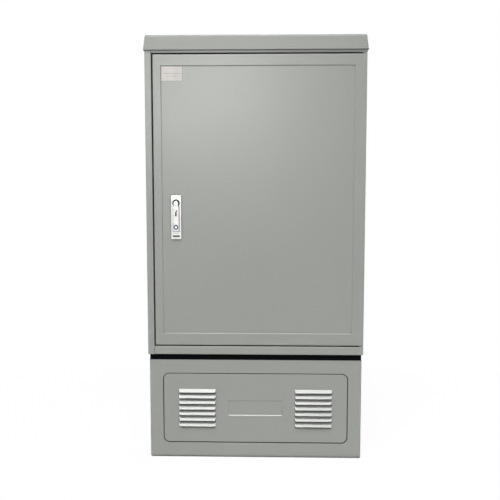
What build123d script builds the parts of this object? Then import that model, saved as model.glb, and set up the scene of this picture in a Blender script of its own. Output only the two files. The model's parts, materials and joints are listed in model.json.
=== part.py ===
from build123d import *
import os
from math import acos, cos, pi, radians, sin, sqrt, tan

# Axes: +X to the right of someone facing the door, +Y to the back, +Z up.
# The origin is on the ground, midway between the four anchor holes of the plinth.

# Plinth: a folded steel box that stands on the ground
plinth_setback = 4.0
plinth_height = 347.0
plinth_sheet = 2.0
plinth_edge_radius = 6.0
plinth_top_flange = 44.0
plinth_foot_flange = 50.0
anchor_hole_radius = 7.0
anchor_from_edge = 25.0

# Louvred cover of the plinth: a tray set in from behind, with a flange round its rim
cover_from_side = 49.0
cover_from_top = 49.5
cover_bottom = 56.0
cover_corner_radius = 18.0
cover_depth = 10.0
cover_gap = 3.0
cover_seat = 8.0
clip_width = 30.0
clip_leg = 12.0
clip_gap = 0.5
clip_from_centre = 210.0
name_panel_width = 188.0
name_panel_height = 54.0
name_panel_depth = 2.0
name_panel_slope = 2.5

# Louvres pressed out of the cover
louvre_rows = 7
louvre_pitch = 20.0
louvre_width = 129.0
louvre_from_centre = 201.0
louvre_from_top = 54.0
louvre_drop = 10.0
louvre_reach = 8.0
louvre_lip = 1.5
louvre_opening = 17.0
louvre_cheek = 3.0
louvre_sheet = 1.2

# Packing frame between plinth and body
packing_height = 20.0
packing_inset = 2.0
packing_band = 40.0
base_bolt_radius = 6.0
base_bolt_head = 8.0
base_nut_height = 10.0
base_bolt_from_side = 22.0
base_bolt_y = 93.0

# Body: sheet steel panels and rails
body_width = 740.0
body_depth = 306.0
body_height = 1039.0
sheet = 1.5
bend_radius = 1.0
jamb_width = 22.5
header_height = 21.4
sill_height = 28.6
rebate_depth = 26.0
rim_width = 21.0
hinge_rim_width = 25.0
seal_lip_length = 16.0
rail_flange = 38.0
back_flange = 20.0

# Roof cap: a pressed tray with drafted sides
cap_over_side = 5.0
cap_over_front = 7.0
cap_overlap = 12.0
cap_skirt = 49.0
cap_rise = 7.0
cap_draft = 5.5
cap_edge_radius = 6.5
cap_hip_x = 95.0
cap_hip_y = 75.0
vent_slots = 9
vent_slot_length = 70.0
vent_slot_width = 3.0
vent_slot_pitch = 14.0
vent_from_centre = 90.0
cap_hem = 3.0
cap_hem_bead = 1.0
cap_hem_chamfer = 0.9
cap_bolt_x = 190.0
cap_bolt_y = 60.0
cap_bolt_radius = 5.0
cap_spacer_radius = 11.0

# Door: a folded steel tray with a shallow pressed field
door_gap = 4.0
door_depth = 22.0
door_return = 12.0
field_left = 26.5
field_right = 38.5
field_bottom = 39.4
field_top = 36.1
field_depth = 3.0
field_slope = 3.0
stiffener_width = 40.0
stiffener_height = 15.0
stiffener_foot = 12.0
stiffener_from_field = 25.0
stiffener_places = (-100.0, 190.0)
gasket_width = 13.0
gasket_clearance = 0.3

# Pivot hinges at the top and bottom of the door
hinge_from_side = 9.0
hinge_from_front = 10.0
hinge_pin_radius = 4.0
hinge_collar_radius = 7.0
hinge_collar_height = 1.9
hinge_head_height = 3.0
hinge_pin_reach = 13.0
hinge_sleeve_wall = 2.0
hinge_sleeve_length = 14.0
hinge_boss_wall = 2.5
hinge_boss_length = 9.0
running_clearance = 0.05

# Name plate on the door
plate_width = 68.5
plate_height = 47.0
plate_thickness = 0.8
plate_corner_radius = 1.5
plate_from_field = 0.3

# Swing handle lock
lock_from_door_edge = 75.4
lock_from_door_bottom = 439.1
lock_width = 34.5
lock_height = 147.4
lock_plate_thickness = 6.0
lock_plate_corner = 2.0
lock_body_width = 31.0
lock_body_height = 134.0
lock_body_depth = 7.0
lock_body_wall = 2.7
lock_cutout_gap = 0.4
spindle_from_top = 25.4
spindle_pocket_radius = 12.7
spindle_pocket_depth = 8.0
spindle_pocket_tail = 9.0
handle_width = 20.0
handle_length = 95.6
handle_thickness = 8.0
handle_rise = 0.3
handle_edge = 2.0
handle_neck = 7.8
handle_neck_length = 9.0
handle_shoulder = 6.0
handle_skin = 1.0
handle_pin_radius = 1.5
handle_pin_depth = 3.5
handle_pin_inset = 0.6
moat_width = 1.8
moat_depth = 3.0
label_slot_width = 24.0
label_slot_height = 5.0
label_slot_from_bottom = 10.4
accent_width = 21.0
accent_height = 1.0
accent_depth = 0.5
accent_from_top = 6.0
accent_from_bottom = 19.3
key_from_spindle = 81.0
key_barrel_radius = 8.0
key_barrel_stand = 0.5
key_plug_radius = 4.2
key_slot_width = 1.4
key_slot_height = 5.6
key_slot_depth = 2.5
dimple_top_radius = 3.4
dimple_bottom_radius = 2.0
dimple_from_spindle = 26.5
dimple_length = 15.0
dimple_depth = 3.0
dimple_rivet_radius = 1.7

# Rack and pinion that moves the two locking bars
tooth_module = 1.5
pinion_teeth = 18
pressure_angle = 20.0
tooth_addendum = 1.35
tooth_dedendum = 1.8
tooth_backlash = 0.2
pinion_thickness = 6.0
flank_points = 4
spindle_radius = 5.0
spindle_square = 7.0
spindle_tail_radius = 3.0
bar_thickness = 6.0
bar_width = 9.4
bar_behind_rim = 3.5
bar_side_gap = 0.3
bar_short_of_lip = 1.5
bar_tip_chamfer = 2.5
lock_case_sheet = 2.0
lock_case_height = 80.0
lock_case_foot = 12.0
lock_case_bridge = 16.0
bar_overrun = 11.0
guide_wall = 5.0
guide_height = 14.0
guide_foot = 10.0
guide_foot_thickness = 3.0
guide_from_tip = 45.0
guide_gap = 0.3
key_turn_angle = 90.0
handle_turn_angle = 90.0

# Document pocket inside the door
pocket_height = 180.0
pocket_depth = 28.0
pocket_sheet = 1.2
pocket_from_door_bottom = 250.0
pocket_gap = 3.0

# Equipment rack inside the body
upright_spacing = 465.1
upright_face = 26.0
upright_leg = 36.0
upright_sheet = 2.0
rack_front = 90.0
rack_hole_radius = 3.3
rack_unit = 44.45
rack_hole_units = 2
rack_hole_first = 120.0
panel_units = 2
panel_count = 3
panel_first_unit = 10
panel_step_units = 4
panel_sheet = 2.0
panel_side = 8.75
panel_flange = 30.0
adapter_columns = 8
adapter_rows = 2
adapter_pitch_x = 48.0
adapter_pitch_z = 36.0
adapter_width = 13.0
adapter_height = 9.4
adapter_length = 26.0
adapter_collar = 1.6
adapter_collar_width = 22.0
dust_cap = 8.0
dust_cap_length = 5.0
adapter_clearance = 0.1
screw_head_radius = 4.8
screw_head_height = 3.2
foot_thickness = 2.0
screw_radius = 2.9
screw_length = 9.0

# Fibre spools on the right-hand side
spool_count = 3
spool_first_height = 460.0
spool_pitch = 200.0
spool_drum_radius = 32.0
spool_flange_radius = 46.0
spool_flange = 2.5
spool_length = 62.0
spool_bore_radius = 26.0
spool_from_front = 130.0

# Cable fixings, earth bar and cable entries
clamp_rail_height = 40.0
clamp_rail_above_floor = 150.0
clamp_rail_depth = 20.0
clamp_count = 3
clamp_pitch = 130.0
clamp_cable_radius = 11.0
clamp_wall = 3.0
clamp_depth = 22.0
clamp_ear = 14.0
earth_bar_length = 220.0
earth_bar_height = 25.0
earth_bar_thickness = 5.0
earth_bar_above_floor = 90.0
earth_hole_radius = 3.3
earth_hole_count = 8
earth_hole_pitch = 22.0
insulator_radius = 11.0
insulator_length = 32.0
entry_width = 400.0
entry_depth = 110.0
entry_from_back = 68.0
gland_plate_border = 18.0
gland_plate_sheet = 2.0
gland_screw_radius = 2.4
gland_screw_head = 4.4
gland_screw_head_height = 2.6
grommet_count = 3
grommet_pitch = 130.0
grommet_hole_radius = 25.0
grommet_bore_radius = 18.0
grommet_collar = 5.0
grommet_collar_height = 5.0

# Derived planes and edges
plinth_width = body_width - 2 * plinth_setback
plinth_depth = body_depth - 2 * plinth_setback
plinth_front = -plinth_depth / 2
cover_width = plinth_width - 2 * cover_from_side
cover_height = plinth_height - cover_from_top - cover_bottom
cover_z = cover_bottom + cover_height / 2
cover_rim = cover_gap + plinth_sheet + cover_seat
louvre_top = cover_bottom + cover_height - louvre_from_top
packing_top = plinth_height + packing_height
body_bottom = packing_top
body_top = body_bottom + body_height
body_left = -body_width / 2
body_right = body_width / 2
body_front = -body_depth / 2
body_back = body_depth / 2
floor_top = body_bottom + sheet
ceiling = body_top - sheet
inner_left = body_left + sheet
inner_right = body_right - sheet
inner_back = body_back - sheet
cap_width = body_width + 2 * cap_over_side
cap_depth = body_depth + 2 * cap_over_front
cap_bottom = body_top - cap_overlap
cap_eaves = cap_bottom + cap_skirt
cap_top = cap_eaves + cap_rise
rim_front = body_front + rebate_depth
rim_back = rim_front + sheet
lip_front = rim_front - seal_lip_length
jamb_edge = body_left + jamb_width
header_edge = body_top - header_height
sill_edge = body_bottom + sill_height
lip_left = jamb_edge + rim_width
lip_right = body_right - hinge_rim_width
lip_top = header_edge - rim_width
lip_bottom = sill_edge + rim_width

door_left = jamb_edge + door_gap
door_right = body_right
door_bottom = sill_edge + door_gap
door_top = header_edge - door_gap
door_front = body_front
door_rear = door_front + door_depth
field_x = (door_left + field_left, door_right - field_right)
field_z = (door_bottom + field_bottom, door_top - field_top)
field_face = door_front + field_depth
field_back = field_face + sheet
skin_back = door_front + sheet
pivot_x = door_right - hinge_from_side
pivot_y = door_front + hinge_from_front

lock_x = door_left + lock_from_door_edge
lock_z = door_bottom + lock_from_door_bottom
lock_front = field_face - lock_plate_thickness
lock_top = lock_z + lock_height / 2
lock_bottom = lock_z - lock_height / 2
lock_body_back = field_face + lock_body_depth
spindle_z = lock_top - spindle_from_top
pocket_floor = lock_front + spindle_pocket_depth
handle_back = lock_front - handle_rise
handle_front = handle_back - handle_thickness
handle_pin_y = handle_back - handle_pin_depth
pocket_left = stiffener_places[0] + stiffener_width / 2 + stiffener_foot + pocket_gap
pocket_right = stiffener_places[1] - stiffener_width / 2 - stiffener_foot - pocket_gap
key_z = spindle_z - key_from_spindle

pitch_radius = tooth_module * pinion_teeth / 2
tooth_pitch = pi * tooth_module
bar_front = rim_back + bar_behind_rim
bar_back = bar_front + bar_thickness
bar_inner = pitch_radius + tooth_dedendum
bar_outer = bar_inner + bar_width
case_inner = bar_outer + bar_side_gap
case_web_front = bar_front - 14 * running_clearance - lock_case_sheet
case_back = bar_back + 3 * lock_case_sheet
bar_travel = pitch_radius * radians(handle_turn_angle)

rack_front_y = body_front + rack_front
entry_centre_y = body_back - entry_from_back - entry_depth / 2
upright_x = upright_spacing / 2
rack_zero = floor_top + rack_hole_first
rack_holes = int((ceiling - rack_zero) / (rack_hole_units * rack_unit))
rack_units = rack_holes * rack_hole_units
panel_width = upright_spacing + 2 * panel_side

# Shared building helpers


def block(x, y, z):
    """A box between the two limits given for each axis."""
    size = (x[1] - x[0], y[1] - y[0], z[1] - z[0])
    middle = ((x[0] + x[1]) / 2, (y[0] + y[1]) / 2, (z[0] + z[1]) / 2)
    return Pos(*middle) * Box(*size)


def folded(path, thickness=sheet, inner_radius=bend_radius):
    """Section of a sheet folded along a path, with its thickness on the left of the path."""
    outline = [Vector(*point) for point in path]
    headings = [(b - a).normalized() for a, b in zip(outline, outline[1:])]
    normals = [Vector(-heading.Y, heading.X) for heading in headings]
    inside = [outline[0] + normals[0] * thickness]
    for corner, before, after in zip(outline[1:-1], normals, normals[1:]):
        inside.append(corner + (before + after) * (thickness / (1 + before.dot(after))))
    inside.append(outline[-1] + normals[-1] * thickness)
    section = make_face(Polyline(*outline, *reversed(inside), close=True))
    for index in range(1, len(outline) - 1):
        turns_left = headings[index - 1].cross(headings[index]).Z > 0
        tight, wide = inside[index], outline[index]
        if not turns_left:
            tight, wide = wide, tight
        for corner, radius in ((tight, inner_radius), (wide, inner_radius + thickness)):
            nearest = section.vertices().sort_by_distance(corner)[0]
            section = fillet(nearest, radius)
    return section


def along_x(section, x):
    """Extrudes a section drawn in Y and Z between two places along X."""
    return Pos(x[0], 0, 0) * extrude(Plane.YZ * section, x[1] - x[0])


def along_z(section, z):
    """Extrudes a section drawn in X and Y between two heights."""
    return Pos(0, 0, z[0]) * extrude(section, z[1] - z[0])


def upright_cylinder(x, y, radius, z):
    """A cylinder along Z between two heights."""
    return Pos(x, y, (z[0] + z[1]) / 2) * Cylinder(radius, z[1] - z[0])


def level_cylinder(x, z, radius, y):
    """A cylinder along Y between two depths."""
    return Pos(x, (y[0] + y[1]) / 2, z) * Rot(90, 0, 0) * Cylinder(radius, y[1] - y[0])


def front_plate(sketch, y):
    """Extrudes a sketch drawn in X and Z, as seen from the front, between two depths."""
    drawing = Plane(origin=(0, y[0], 0), x_dir=(1, 0, 0), z_dir=(0, -1, 0))
    return extrude(drawing * sketch, -(y[1] - y[0]))


def turned(profile, x, y):
    """Revolves a profile of (radius, z) points round a vertical line."""
    face = Plane.XZ * make_face(Polyline(*profile, close=True))
    return Pos(x, y, 0) * revolve(face, Axis.Z)


def sloped_field(x, z, y_front, y_back, slope):
    """A shallow frustum: a rectangle at the front that narrows by the slope towards the back."""
    middle = ((x[0] + x[1]) / 2, (z[0] + z[1]) / 2)
    width, height = x[1] - x[0], z[1] - z[0]
    front = Plane(origin=(middle[0], y_front, middle[1]), x_dir=(1, 0, 0), z_dir=(0, -1, 0))
    back = Plane(origin=(middle[0], y_back, middle[1]), x_dir=(1, 0, 0), z_dir=(0, -1, 0))
    return loft(
        [front * Rectangle(width, height), back * Rectangle(width - 2 * slope, height - 2 * slope)]
    )


def pressed_field(panel, x, z, y, depth, slope, thickness):
    """Presses a shallow field with sloping walls into a panel whose front face is at y."""
    grow = thickness * (sqrt(1 + (slope / depth) ** 2) - slope / depth)
    behind_x, behind_z = (x[0] - grow, x[1] + grow), (z[0] - grow, z[1] + grow)
    panel += sloped_field(behind_x, behind_z, y + thickness, y + thickness + depth, slope)
    return panel - sloped_field(x, z, y, y + depth, slope)


def hexagon_head(radius, z):
    """A hexagonal head or nut round the Z axis, as wide across its flats as twice the radius."""
    return Pos(0, 0, z[0]) * extrude(RegularPolygon(radius, 6, major_radius=False), z[1] - z[0])


def group(solids):
    """Several separate solids as one node."""
    return Compound(children=[part.solid() for part in solids])


# Plinth, its cover and the packing


def plinth():
    half_x, half_y = plinth_width / 2, plinth_depth / 2
    t = plinth_sheet
    box = block((-half_x, half_x), (-half_y, half_y), (0, plinth_height))
    rounded = box.edges().filter_by(Axis.Z) + box.faces().sort_by(Axis.Z)[0].edges()
    box = fillet(rounded, plinth_edge_radius)
    room = block((t - half_x, half_x - t), (t - half_y, half_y - t), (t, plinth_height - t))
    room = fillet(
        room.edges().filter_by(Axis.Z) + room.faces().sort_by(Axis.Z)[0].edges(), plinth_edge_radius - t
    )
    top_x, top_y = half_x - plinth_top_flange, half_y - plinth_top_flange
    foot_x, foot_y = half_x - plinth_foot_flange, half_y - plinth_foot_flange
    middle = plinth_height / 2
    box -= room
    box -= block((-top_x, top_x), (-top_y, top_y), (middle, plinth_height))
    box -= block((-foot_x, foot_x), (-foot_y, foot_y), (0, middle))
    box += front_plate(cover_outline(cover_gap + t), (-half_y, -half_y + cover_depth))
    box -= front_plate(cover_outline(cover_gap), (-half_y - t, -half_y + cover_depth))
    for x, y in anchor_places():
        box -= upright_cylinder(x, y, anchor_hole_radius, (-t, 2 * t))
    for x, y in base_bolt_places():
        hole = base_bolt_radius + running_clearance
        box -= upright_cylinder(x, y, hole, (plinth_height - 2 * t, plinth_height + t))
    return box


def cover_outline(grow):
    """The outline of the plinth cover, drawn out by an amount on all sides."""
    size = (cover_width + 2 * grow, cover_height + 2 * grow)
    return Pos(0, cover_z) * RectangleRounded(*size, cover_corner_radius + grow)


def anchor_places():
    x = plinth_width / 2 - anchor_from_edge
    y = plinth_depth / 2 - anchor_from_edge
    return [(i * x, j * y) for i in (-1, 1) for j in (-1, 1)]


def base_bolt_places():
    x = plinth_width / 2 - base_bolt_from_side
    return [(i * x, j * base_bolt_y) for i in (-1, 1) for j in (-1, 1)]


def louvre(x, z, front):
    """The outer form and the hollow of one louvre whose root is at height z."""
    half = louvre_width / 2
    tip = front - louvre_reach
    behind = front + plinth_sheet * 2
    lip_z = z - louvre_drop - louvre_lip
    hood = [(front, z), (tip, z - louvre_drop), (tip, lip_z), (front, lip_z)]
    # The hollow keeps the sheet's thickness under the sloping face and inside the lip
    run = sqrt(louvre_reach**2 + louvre_drop**2)
    skin_z = louvre_sheet * run / louvre_reach
    slope = louvre_drop / louvre_reach
    inner_tip = tip + louvre_sheet
    inner_top = z - skin_z
    inner_low = inner_top - slope * (front - inner_tip)
    hollow = [
        (behind, inner_top),
        (front, inner_top),
        (inner_tip, inner_low),
        (inner_tip, lip_z - louvre_lip),
        (front, lip_z - louvre_lip),
        (front, z - louvre_opening),
        (behind, z - louvre_opening),
    ]
    edge = louvre_cheek
    wall = louvre_sheet
    plan = [(-half, front), (-half + edge, tip), (half - edge, tip), (half, front)]
    inside = [
        (-half + wall, behind),
        (-half + wall, front),
        (-half + edge + wall, tip),
        (half - edge - wall, tip),
        (half - wall, front),
        (half - wall, behind),
    ]
    rise = (z - 2 * louvre_opening, z + louvre_opening)
    outer = along_x(make_face(Polyline(*hood, close=True)), (x - half, x + half))
    outer &= Pos(x, 0, 0) * along_z(make_face(Polyline(*plan, close=True)), rise)
    inner = along_x(make_face(Polyline(*hollow, close=True)), (x - half, x + half))
    inner &= Pos(x, 0, 0) * along_z(make_face(Polyline(*inside, close=True)), rise)
    return outer, inner


def plinth_cover():
    t = plinth_sheet
    back = plinth_front + cover_depth
    cover = front_plate(cover_outline(0), (plinth_front, back + t))
    cover = fillet(cover.faces().sort_by(Axis.Y)[0].edges(), bend_radius)
    cover += front_plate(cover_outline(cover_rim), (back, back + t))
    cover -= front_plate(cover_outline(-t), (plinth_front + t, back + t))
    half_x, half_z = name_panel_width / 2, name_panel_height / 2
    name = ((-half_x, half_x), (cover_z - half_z, cover_z + half_z))
    cover = pressed_field(cover, *name, plinth_front, name_panel_depth, name_panel_slope, t)
    for side in (-1, 1):
        for row in range(louvre_rows):
            height = louvre_top - row * louvre_pitch
            outer, inner = louvre(side * louvre_from_centre, height, plinth_front)
            cover = cover + outer - inner
    return cover


def cover_clip(x, upper):
    """A folded clip on the inside of the plinth that reaches behind the rim of the cover."""
    wall = plinth_front + plinth_sheet
    seat = plinth_front + cover_depth + plinth_sheet
    edge = cover_height / 2 + cover_rim + clip_gap
    path = [
        (wall, edge + clip_leg + 2 * sheet),
        (wall, edge + sheet),
        (seat, edge + sheet),
        (seat, edge - clip_leg),
    ]
    clip = along_x(folded(path), (-clip_width / 2, clip_width / 2))
    if not upper:
        clip = mirror(clip, Plane.XY)
    return Pos(x, 0, cover_z) * clip


def plinth_cover_clips():
    places = [(side * clip_from_centre, upper) for side in (-1, 1) for upper in (True, False)]
    return group([cover_clip(x, upper) for x, upper in places])


def packing_frame():
    half_x, half_y = plinth_width / 2 - packing_inset, plinth_depth / 2 - packing_inset
    in_x, in_y = half_x - packing_band, half_y - packing_band
    heights = (plinth_height, packing_top)
    ring = block((-half_x, half_x), (-half_y, half_y), heights)
    ring -= block((-in_x, in_x), (-in_y, in_y), heights)
    for x, y in base_bolt_places():
        ring -= upright_cylinder(x, y, base_bolt_radius + running_clearance, heights)
    return ring


def base_bolts():
    """Bolts that hold the body down on the plinth, each with its nut run home."""
    bolts = []
    grip_bottom = plinth_height - plinth_sheet
    for x, y in base_bolt_places():
        shank = upright_cylinder(0, 0, base_bolt_radius, (grip_bottom - 2 * base_nut_height, floor_top))
        head = hexagon_head(1.5 * base_bolt_radius, (floor_top, floor_top + base_bolt_head))
        nut = hexagon_head(1.5 * base_bolt_radius, (grip_bottom - base_nut_height, grip_bottom))
        bolts.append(Pos(x, y, 0) * (shank + head + nut))
    return group(bolts)


# Body panels and rails


def side_panel_left():
    path = [
        (body_left, body_back),
        (body_left, body_front),
        (jamb_edge, body_front),
        (jamb_edge, rim_front),
        (lip_left, rim_front),
        (lip_left, lip_front),
    ]
    panel = along_z(folded(path), (body_bottom, body_top))
    spare = (body_left + 2 * sheet + bend_radius, lip_left + 2 * sheet)
    fold = (lip_front - sheet, rim_back + sheet)
    beyond = (jamb_edge, spare[1])
    panel -= block(beyond, fold, (body_bottom, lip_bottom + sheet))
    panel -= block(beyond, fold, (lip_top - sheet, body_top))
    return panel


def side_panel_right():
    path = [
        (lip_right, lip_front),
        (lip_right, rim_front),
        (body_right, rim_front),
        (body_right, body_back),
    ]
    panel = along_z(folded(path), (lip_bottom + sheet, lip_top - sheet))
    wall = (inner_right, body_right)
    panel += block(wall, (rim_front, body_back), (body_bottom, lip_bottom + sheet))
    panel += block(wall, (rim_front, body_back), (lip_top - sheet, body_top))
    panel += block(wall, (body_front, rim_front), (body_bottom, sill_edge))
    panel += block(wall, (body_front, rim_front), (header_edge, body_top))
    return panel


def trim_lip(rail, z):
    """Cuts the seal lip of a rail back to the corners of the opening."""
    depth = (lip_front - sheet, rim_front)
    rail -= block((jamb_edge, lip_left), depth, z)
    rail -= block((lip_right, body_right), depth, z)
    return rail


def pin_hole(z):
    return upright_cylinder(pivot_x, pivot_y, hinge_pin_radius + running_clearance, z)


def header_rail():
    path = [
        (body_front + rail_flange, body_top),
        (body_front, body_top),
        (body_front, header_edge),
        (rim_front, header_edge),
        (rim_front, lip_top),
        (lip_front, lip_top),
    ]
    rail = along_x(folded(path), (jamb_edge, inner_right))
    rail = trim_lip(rail, (lip_top - 2 * sheet, lip_top + sheet))
    return rail - pin_hole((header_edge - sheet, header_edge + 2 * sheet))


def sill_rail():
    path = [
        (lip_front, lip_bottom),
        (rim_front, lip_bottom),
        (rim_front, sill_edge),
        (body_front, sill_edge),
        (body_front, body_bottom),
        (body_front + rail_flange, body_bottom),
    ]
    rail = along_x(folded(path), (jamb_edge, inner_right))
    rail = trim_lip(rail, (lip_bottom - sheet, lip_bottom + 2 * sheet))
    return rail - pin_hole((sill_edge - 2 * sheet, sill_edge + sheet))


def back_panel():
    path = [
        (inner_right, body_back - back_flange),
        (inner_right, body_back),
        (inner_left, body_back),
        (inner_left, body_back - back_flange),
    ]
    return along_z(folded(path), (floor_top, ceiling))


def floor_panel():
    x = (inner_left, inner_right)
    y = (body_front + rail_flange, body_back)
    floor = block(x, y, (body_bottom, floor_top))
    half = entry_width / 2
    entry = (entry_centre_y - entry_depth / 2, entry_centre_y + entry_depth / 2)
    floor -= block((-half, half), entry, (body_bottom, floor_top))
    for x_place, y_place in base_bolt_places():
        hole = base_bolt_radius + running_clearance
        floor -= upright_cylinder(x_place, y_place, hole, (body_bottom, floor_top))
    for x_place, y_place in gland_screw_places():
        hole = gland_screw_radius + running_clearance
        floor -= upright_cylinder(x_place, y_place, hole, (body_bottom, floor_top))
    return floor


def top_panel():
    top = block((inner_left, inner_right), (body_front + rail_flange, body_back), (ceiling, body_top))
    for x, y in cap_bolt_places():
        top -= upright_cylinder(x, y, cap_bolt_radius + running_clearance, (ceiling, body_top))
    half_x, half_y = vent_slot_length / 2, vent_slot_width / 2
    for side in (-1, 1):
        for slot in range(vent_slots):
            x = side * vent_from_centre
            y = (slot - (vent_slots - 1) / 2) * vent_slot_pitch
            top -= block((x - half_x, x + half_x), (y - half_y, y + half_y), (ceiling, body_top))
    return top


# Roof cap


def cap_level(inset, z):
    """One level of the roof cap: a rectangle drawn in from the full outline."""
    size = (cap_width - 2 * cap_hem_bead - 2 * inset, cap_depth - 2 * cap_hem_bead - 2 * inset)
    return Pos(0, 0, z) * Rectangle(*size)


def cap_form(inset, drop, radius):
    """The solid form of the cap, drawn in by the inset and lowered by the drop."""
    bottom, eaves = cap_bottom - drop, cap_eaves - drop
    plateau = Rectangle(cap_width - 2 * cap_hip_x, cap_depth - 2 * cap_hip_y)
    skirt = loft([cap_level(inset, bottom), cap_level(inset + cap_draft, eaves)])
    roof = loft([cap_level(inset + cap_draft, eaves), Pos(0, 0, cap_top - drop) * plateau])
    form = skirt + roof
    upright = Axis.Z.direction
    corners = [
        edge
        for edge in form.edges()
        if abs(edge.tangent_at(0).dot(upright)) > cos(radians(45)) and edge.length > cap_skirt / 2
    ]
    rounded = form.edges().filter_by_position(Axis.Z, eaves - sheet / 2, eaves + sheet / 2)
    return fillet(corners + list(rounded), radius)


def cap_bolt_places():
    return [(i * cap_bolt_x, j * cap_bolt_y) for i in (-1, 1) for j in (-1, 1)]


def roof_cap():
    cap = cap_form(0, 0, cap_edge_radius)
    cap -= cap_form(sheet, sheet, cap_edge_radius - sheet)
    hem = extrude(cap_level(-cap_hem_bead, cap_bottom), 2 * sheet)
    hem = fillet(hem.edges().filter_by(Axis.Z), cap_edge_radius + cap_hem_bead)
    rims = [hem.faces().sort_by(Axis.Z)[end].edges() for end in (0, -1)]
    hem = chamfer(rims[0] + rims[1], cap_hem_chamfer)
    room = extrude(cap_level(cap_hem, cap_bottom), 2 * sheet)
    return cap + (hem - fillet(room.edges().filter_by(Axis.Z), cap_edge_radius - cap_hem))


def roof_cap_bolts():
    """Studs under the cap, each with a spacer above the top panel and a nut below it."""
    bolts = []
    underside = cap_top - sheet
    nut_bottom = ceiling - 2 * cap_bolt_radius * 0.8
    for x, y in cap_bolt_places():
        stud = upright_cylinder(0, 0, cap_bolt_radius, (nut_bottom - cap_bolt_radius, underside))
        spacer = upright_cylinder(0, 0, cap_spacer_radius, (body_top, underside))
        nut = hexagon_head(1.6 * cap_bolt_radius, (nut_bottom, ceiling))
        bolts.append(Pos(x, y, 0) * (stud + spacer + nut))
    return group(bolts)


# Door


def door_panel():
    t = sheet
    bend = bend_radius + t
    tray = block((door_left, door_right), (door_front, door_rear), (door_bottom, door_top))
    tray = fillet(tray.faces().sort_by(Axis.Y)[0].edges(), bend)
    hollow = block(
        (door_left + t, door_right - t), (skin_back, door_rear - t), (door_bottom + t, door_top - t)
    )
    tray -= fillet(hollow.faces().sort_by(Axis.Y)[0].edges(), bend_radius)
    tray -= block(
        (door_left + door_return, door_right - door_return),
        (door_rear - t, door_rear),
        (door_bottom + door_return, door_top - door_return),
    )
    tray = pressed_field(tray, field_x, field_z, door_front, field_depth, field_slope, t)
    for z, inward in ((door_top, -1), (door_bottom, 1)):
        tray = hinge_seat(tray, z, inward)
    gap = lock_cutout_gap / 2
    cutout = (lock_body_width / 2 + gap, lock_body_height / 2 + gap)
    tray -= block(
        (lock_x - cutout[0], lock_x + cutout[0]),
        (door_front, lock_body_back),
        (lock_z - cutout[1], lock_z + cutout[1]),
    )
    return tray


def hinge_seat(tray, z, inward):
    """Adds the welded boss and the hole for a hinge sleeve at one end of the door."""
    sleeve = hinge_pin_radius + running_clearance + hinge_sleeve_wall
    start, end = sorted((z + inward * sheet, z + inward * hinge_boss_length))
    boss = upright_cylinder(pivot_x, pivot_y, sleeve + hinge_boss_wall, (start, end))
    boss &= block((door_left, door_right - sheet), (skin_back, door_rear), (door_bottom, door_top))
    low, high = sorted((z - inward * sheet, z + inward * hinge_boss_length))
    hole = upright_cylinder(pivot_x, pivot_y, sleeve + running_clearance, (low, high))
    return tray + boss - hole


def hinge_pin(z, inward):
    """A pin through the rail, with a head inside the rail and a collar on its face."""
    shaft, collar = hinge_pin_radius, hinge_collar_radius
    head = z - inward * sheet
    profile = [
        (0, head - inward * hinge_head_height),
        (collar, head - inward * hinge_head_height),
        (collar, head),
        (shaft, head),
        (shaft, z),
        (collar, z),
        (collar, z + inward * hinge_collar_height),
        (shaft, z + inward * hinge_collar_height),
        (shaft, z + inward * (door_gap + hinge_pin_reach)),
        (0, z + inward * (door_gap + hinge_pin_reach)),
    ]
    return turned(profile, pivot_x, pivot_y)


def hinge_sleeve(z, inward):
    """A nylon sleeve in the door, whose collar runs on the collar of the pin."""
    bore = hinge_pin_radius + running_clearance
    outside = bore + hinge_sleeve_wall
    collar_height = door_gap - hinge_collar_height - running_clearance
    profile = [
        (bore, z - inward * collar_height),
        (hinge_collar_radius, z - inward * collar_height),
        (hinge_collar_radius, z),
        (outside, z),
        (outside, z + inward * hinge_sleeve_length),
        (bore, z + inward * hinge_sleeve_length),
    ]
    return turned(profile, pivot_x, pivot_y)


def door_gasket():
    """Foam strip inside the door that the lip of the body opening meets."""
    half = gasket_width / 2
    left, right = lip_left + sheet / 2, lip_right - sheet / 2
    low, high = lip_bottom + sheet / 2, lip_top - sheet / 2
    depth = (skin_back, lip_front - gasket_clearance)
    ring = block((left - half, right + half), depth, (low - half, high + half))
    hole = block((left + half, right - half), depth, (low + half, high - half))
    return ring - hole


def door_stiffener(x):
    """A vertical top-hat channel on the back of the door."""
    half = stiffener_width / 2
    crown = field_back + stiffener_height
    path = [
        (x - half - stiffener_foot, field_back),
        (x - half, field_back),
        (x - half, crown - sheet),
        (x + half, crown - sheet),
        (x + half, field_back),
        (x + half + stiffener_foot, field_back),
    ]
    heights = (field_z[0] + stiffener_from_field, field_z[1] - stiffener_from_field)
    return along_z(folded(path), heights)


def document_pocket():
    """A folded tray on the back of the door that holds the drawings."""
    t = pocket_sheet
    x = (pocket_left, pocket_right)
    y = (field_back, field_back + pocket_depth)
    z_low = door_bottom + pocket_from_door_bottom
    z = (z_low, z_low + pocket_height)
    tray = block(x, y, z)
    tray -= block((x[0] + t, x[1] - t), (y[0] + t, y[1] - t), (z[0] + t, z[1]))
    middle = (pocket_left + pocket_right) / 2
    return tray - level_cylinder(middle, z[1], pocket_height / 4, (y[1] - 2 * t, y[1] + t))


def name_plate():
    """A blank plate in the upper corner of the pressed field."""
    left = field_x[0] + field_slope + plate_from_field
    top = field_z[1] - field_slope - plate_from_field
    outline = Pos(left + plate_width / 2, top - plate_height / 2)
    outline = outline * RectangleRounded(plate_width, plate_height, plate_corner_radius)
    return front_plate(outline, (field_face - plate_thickness, field_face))


# Swing handle lock


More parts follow.
